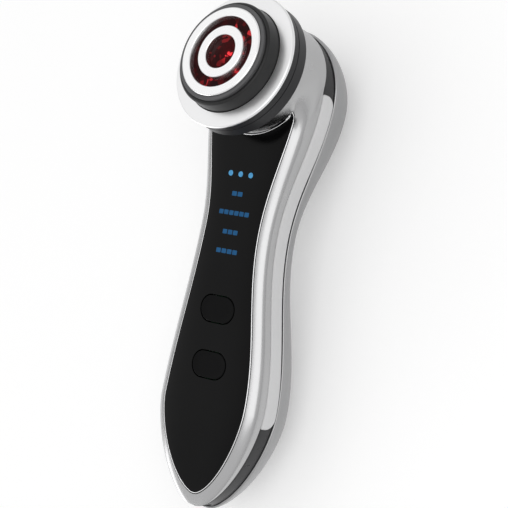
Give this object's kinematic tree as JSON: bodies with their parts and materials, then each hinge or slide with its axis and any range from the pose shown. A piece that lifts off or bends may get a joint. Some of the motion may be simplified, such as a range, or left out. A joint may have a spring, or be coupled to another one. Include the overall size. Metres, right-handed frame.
{
  "type": "facial toning device",
  "caption": "Handheld facial toning device: waisted chrome and black handle with press buttons, and a tilted round head with ring electrodes round red light windows.",
  "frame": {"origin": "centre of the object's footprint, on the surface that its back rests on", "axes": "+Y from the tail to the head, +Z out of the control panel, +X to the right seen from the panel side with the head up"},
  "size_m": [0.052, 0.1874, 0.0644],
  "materials": {
    "chrome_shell": "polished",
    "silver_shell": "satin",
    "trim_satin": "satin",
    "dark_band": "gloss",
    "panel_black": "gloss",
    "bezel_chrome": "polished",
    "button_black": "satin",
    "lamp_blue": "lit, clear",
    "clear_guide": "frosted",
    "collar_dark": "satin",
    "base_black": "satin",
    "insulator_grey": "satin",
    "electrode_metal": "fine satin",
    "window_red": "clear, lit from behind",
    "lens_red": "clear, lit from behind",
    "ceramic": "fired",
    "board_green": "solder mask",
    "led_white": "moulded",
    "cell_blue": "shrink sleeve",
    "inner_black": "moulded",
    "socket_steel": "plain",
    "screw_steel": "plain",
    "sink_aluminium": "extruded",
    "pin_brass": "plated",
    "winding_copper": "enamelled",
    "lead_red": "silicone"
  },
  "bodies": {
    "handset": {"front_shell": "chrome_shell", "rear_shell": "silver_shell", "mid_frame": "dark_band", "side_trim_left": "trim_satin", "side_trim_right": "trim_satin", "panel_bezel": "bezel_chrome", "control_panel": "panel_black", "tact_switches": "inner_black", "level_lights": "lamp_blue", "light_guide": "clear_guide", "indicator_leds": "led_white", "main_board": "board_green", "board_screws": "screw_steel", "battery": "cell_blue", "battery_cradle": "inner_black", "charge_socket": "socket_steel", "charge_board": "board_green", "buzzer": "inner_black", "transformer": "winding_copper", "head_collar": "collar_dark", "flange_ring": "bezel_chrome", "electrode_base": "base_black", "insulator_ring": "insulator_grey", "outer_electrode": "electrode_metal", "window_ring": "window_red", "inner_electrode": "electrode_metal", "centre_lens": "lens_red", "heat_spreader": "ceramic", "led_board": "board_green", "head_leds": "led_white", "contact_pins": "pin_brass", "cooling_module": "ceramic", "heat_sink": "sink_aluminium", "head_screws": "screw_steel", "shell_screws": "screw_steel", "electrode_leads": "lead_red"},
    "level_key": {"level_button": "button_black", "level_plunger": "inner_black"},
    "mode_key": {"mode_button": "button_black", "mode_plunger": "inner_black"}
  },
  "joints": [
    {"name": "level_press", "type": "slide", "parent": "handset", "child": "level_key", "axis": [0, 0, 1], "range_m": [-0.0005, 0], "stiffness_N_per_m": 1500, "springref_m": 0.0004},
    {"name": "mode_press", "type": "slide", "parent": "handset", "child": "mode_key", "axis": [0, 0, 1], "range_m": [-0.0005, 0], "stiffness_N_per_m": 1500, "springref_m": 0.0004}
  ]
}
